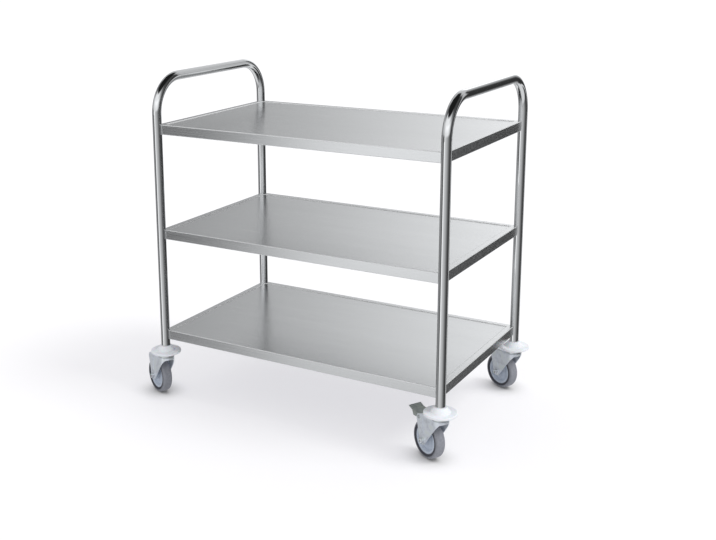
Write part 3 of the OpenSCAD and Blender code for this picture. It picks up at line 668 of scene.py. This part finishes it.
class TROLLEY_OT_add_lock_rings(bpy.types.Operator):
    """Adds the nylon ring that stops each axle nut from turning back"""

    bl_idname = "trolley.add_lock_rings"
    bl_label = "Add lock rings"

    def execute(self, context):
        fit = context.scene.trolley_fittings
        material = white_plastic(context.scene.trolley_finish)
        material.name = "natural_nylon_lock_ring"
        for corner in CORNERS:
            roll = JOINTS[f"roll_{corner}"]
            axis = Vector(roll["axis"])
            nut_low, nut_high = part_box(f"axle_nut_{corner}")
            centre = Vector(roll["pos_m"])
            face = (Vector((nut_low + nut_high) / 2) - centre).dot(axis) + NUT_HALF
            bpy.ops.object.select_all(action="DESELECT")
            bpy.ops.mesh.primitive_cylinder_add(vertices=32, radius=RING_RADIUS,
                depth=fit.ring_height)
            ring = start_piece(f"lock_ring_{corner}")
            bpy.ops.object.mode_set(mode="EDIT")
            # A round shoulder, then a dished middle that runs down to the bolt
            pick_end(ring, 1)
            bpy.ops.mesh.inset(thickness=SHOULDER_RIM)
            bpy.ops.transform.translate(value=(0, 0, SHOULDER_HEIGHT))
            bpy.ops.mesh.inset(thickness=DISH_RIM)
            bpy.ops.transform.translate(value=(0, 0, -DISH_DEPTH))
            bpy.ops.object.mode_set(mode="OBJECT")
            turn = axis.to_track_quat("Z", "Y").to_matrix().to_4x4()
            place = Matrix.Translation(centre + axis * (face + fit.ring_height / 2)) @ turn
            settle(copies(ring, [place]), f"lock_ring_{corner}", f"castor_{corner}", material)
        return {"FINISHED"}


class TROLLEY_OT_set_stage(bpy.types.Operator):
    """Adds the pale floor, the room, the soft lamp and the camera"""

    bl_idname = "trolley.set_stage"
    bl_label = "Set stage"

    def execute(self, context):
        stage = context.scene.trolley_stage
        context.scene.view_settings.view_transform = "Standard"
        self.lay_floor(stage)
        self.light_room(context, stage)
        self.place_camera(context, stage)
        return {"FINISHED"}

    def lay_floor(self, stage):
        """A wide pale floor. The camera sees it lifted, so that it is white outside the shadow."""
        bpy.ops.object.select_all(action="DESELECT")
        bpy.ops.mesh.primitive_circle_add(vertices=96, radius=FLOOR_RADIUS, fill_type="NGON",
            location=(0, 0, 0))
        floor = start_piece("studio_floor")
        material = bpy.data.materials.new("pale_studio_floor")
        material.use_nodes = True
        tree = material.node_tree
        tree.nodes.clear()
        path = add(tree, "ShaderNodeLightPath")
        plain = add(tree, "ShaderNodeBsdfDiffuse", {"Color": (*stage.floor, 1)})
        shadow = add(tree, "ShaderNodeBsdfDiffuse", {"Color": FLOOR_COLOUR})
        # Painted contact shadow: near a wheel, occlusion dims the floor's glow, so the floor goes
        # darker there
        near = add(tree, "ShaderNodeAmbientOcclusion", {"Distance": CONTACT_REACH})
        painted_contact_shadow = add(tree, "ShaderNodeMapRange", {"Value": near.outputs["AO"],
            "From Min": CONTACT_OPEN[0], "From Max": CONTACT_OPEN[1], "To Min": CONTACT_GLOW})
        lift = add(tree, "ShaderNodeEmission", {"Color": FLOOR_GLOW,
            "Strength": painted_contact_shadow.outputs["Result"]})
        seen = add(tree, "ShaderNodeAddShader", {0: shadow.outputs["BSDF"],
            1: lift.outputs["Emission"]})
        mixed = add(tree, "ShaderNodeMixShader", {"Fac": path.outputs["Is Camera Ray"],
            1: plain.outputs["BSDF"], 2: seen.outputs["Shader"]})
        add(tree, "ShaderNodeOutputMaterial", {"Surface": mixed.outputs["Shader"]})
        floor.data.materials.append(material)
        floor.visible_glossy = False

    def light_room(self, context, stage):
        """White behind the trolley, plain light on it, and a room's walls for polished metal."""
        world = bpy.data.worlds.new("studio_room")
        context.scene.world = world
        world.use_nodes = True
        world.cycles.sampling_method = "NONE"
        tree = world.node_tree
        tree.nodes.clear()
        path = add(tree, "ShaderNodeLightPath")
        way = add(tree, "ShaderNodeTexCoord").outputs["Generated"]
        parts = add(tree, "ShaderNodeSeparateXYZ", {"Vector": way})
        angle = add(tree, "ShaderNodeMath", {0: parts.outputs["Y"], 1: parts.outputs["X"]},
            operation="ARCTAN2")
        # The stops are in degrees round the room: -90 is the front, 0 the right and 90 the back
        around = add(tree, "ShaderNodeMapRange", {"Value": angle.outputs["Value"],
            "From Min": -math.pi, "From Max": math.pi}).outputs["Result"]
        height = parts.outputs["Z"]
        low = self.wall(tree, around, LOW_WALL)
        middle = self.wall(tree, around, MIDDLE_WALL)
        high = self.wall(tree, around, HIGH_WALL)
        start, end = (math.sin(math.radians(degrees)) for degrees in MIDDLE_RISE)
        lit_up = add(tree, "ShaderNodeMapRange", {"Value": height, "From Min": start,
            "From Max": end, "To Min": MIDDLE_DIM, "To Max": MIDDLE_BRIGHT})
        risen = add(tree, "ShaderNodeMath", {0: middle, 1: lit_up.outputs["Result"]},
            operation="MULTIPLY")
        shine = self.fade(tree, height, LOW_TOP, low, risen.outputs["Value"])
        shine = self.fade(tree, height, MIDDLE_TOP, shine, high)
        shine = self.fade(tree, height, HIGH_TOP, shine, CEILING_LIGHT)
        shine = self.fade(tree, height, SKIRTING_TOP, self.wall(tree, around, SKIRTING), shine)
        shine = self.fade(tree, height, GROUND_TOP, GROUND_LIGHT, shine)
        strength = add(tree, "ShaderNodeMath", {0: shine, 1: stage.room_shine},
            operation="MULTIPLY")
        white = add(tree, "ShaderNodeBackground", {"Color": WHITE, "Strength": 1.0})
        plain = add(tree, "ShaderNodeBackground", {"Color": WHITE, "Strength": stage.room_light})
        room = add(tree, "ShaderNodeBackground", {"Color": COOL_WHITE,
            "Strength": strength.outputs["Value"]})
        lit = add(tree, "ShaderNodeMixShader", {"Fac": path.outputs["Is Glossy Ray"],
            1: plain.outputs["Background"], 2: room.outputs["Background"]})
        whole = add(tree, "ShaderNodeMixShader", {"Fac": path.outputs["Is Camera Ray"],
            1: lit.outputs["Shader"], 2: white.outputs["Background"]})
        add(tree, "ShaderNodeOutputWorld", {"Surface": whole.outputs["Shader"]})
        bpy.ops.object.light_add(type="SUN", location=LAMP_PLACE)
        lamp = bpy.context.active_object
        lamp.name = "soft_key_lamp"
        lamp.rotation_euler = Vector(LAMP_WAY).to_track_quat("Z", "Y").to_euler()
        lamp.data.energy = stage.key_light
        lamp.data.angle = LAMP_ANGLE
        lamp.visible_glossy = False

    def wall(self, tree, around, stops):
        """Brightness round one band of the room, from stops in degrees."""
        ramp = add(tree, "ShaderNodeValToRGB", {"Fac": around},
            stops=[((degrees + 180) / 360, light) for degrees, light in stops])
        return ramp.outputs["Color"]

    def fade(self, tree, height, degrees, under, over):
        """Brightness that goes from one band to the one over it between two heights in degrees."""
        start, end = (math.sin(math.radians(angle)) for angle in degrees)
        share = add(tree, "ShaderNodeMapRange", {"Value": height, "From Min": start,
            "From Max": end})
        mixed = add(tree, "ShaderNodeMix", {"Factor": share.outputs["Result"], 2: under, 3: over})
        return mixed.outputs[0]

    def place_camera(self, context, stage):
        """The camera of the photograph: its place, direction, roll, lens and shift."""
        bpy.ops.object.camera_add()
        camera = bpy.context.active_object
        camera.name = "studio_camera"
        camera.matrix_world = (Matrix.Translation(stage.eye) @ Matrix.Rotation(stage.turn, 4, "Z")
            @ Matrix.Rotation(math.pi / 2 - stage.tilt, 4, "X")
            @ Matrix.Rotation(stage.roll, 4, "Z"))
        camera.data.sensor_width = SENSOR_WIDTH
        camera.data.lens = stage.lens
        camera.data.shift_x, camera.data.shift_y = stage.shift
        camera.data.clip_end = VIEW_END
        context.scene.camera = camera


class TROLLEY_PT_panel(bpy.types.Panel):
    """Lists the steps and the values that a user would change"""

    bl_idname = "TROLLEY_PT_panel"
    bl_label = "Serving trolley"
    bl_space_type = "VIEW_3D"
    bl_region_type = "UI"
    bl_category = "Trolley"

    def draw(self, context):
        for step in STEPS:
            self.layout.operator(step.bl_idname)
        for group in (context.scene.trolley_finish, context.scene.trolley_fittings,
            context.scene.trolley_stage):
            box = self.layout.box()
            for name in group.__annotations__:
                box.prop(group, name)


STEPS = (TROLLEY_OT_finish_frames, TROLLEY_OT_finish_shelves, TROLLEY_OT_finish_castors,
    TROLLEY_OT_finish_wheels, TROLLEY_OT_add_spot_welds, TROLLEY_OT_add_weld_beads,
    TROLLEY_OT_add_lock_rings, TROLLEY_OT_set_stage)
GROUPS = (TrolleyFinish, TrolleyFittings, TrolleyStage)


def register():
    for part in (*GROUPS, *STEPS, TROLLEY_PT_panel):
        bpy.utils.register_class(part)
    bpy.types.Scene.trolley_finish = PointerProperty(type=TrolleyFinish)
    bpy.types.Scene.trolley_fittings = PointerProperty(type=TrolleyFittings)
    bpy.types.Scene.trolley_stage = PointerProperty(type=TrolleyStage)


def unregister():
    del bpy.types.Scene.trolley_finish
    del bpy.types.Scene.trolley_fittings
    del bpy.types.Scene.trolley_stage
    for part in reversed((*GROUPS, *STEPS, TROLLEY_PT_panel)):
        bpy.utils.unregister_class(part)


def main():
    register()
    bpy.ops.trolley.finish_frames()
    bpy.ops.trolley.finish_shelves()
    bpy.ops.trolley.finish_castors()
    bpy.ops.trolley.finish_wheels()
    bpy.ops.trolley.add_spot_welds()
    bpy.ops.trolley.add_weld_beads()
    bpy.ops.trolley.add_lock_rings()
    bpy.ops.trolley.set_stage()


if __name__ == "__main__":
    main()
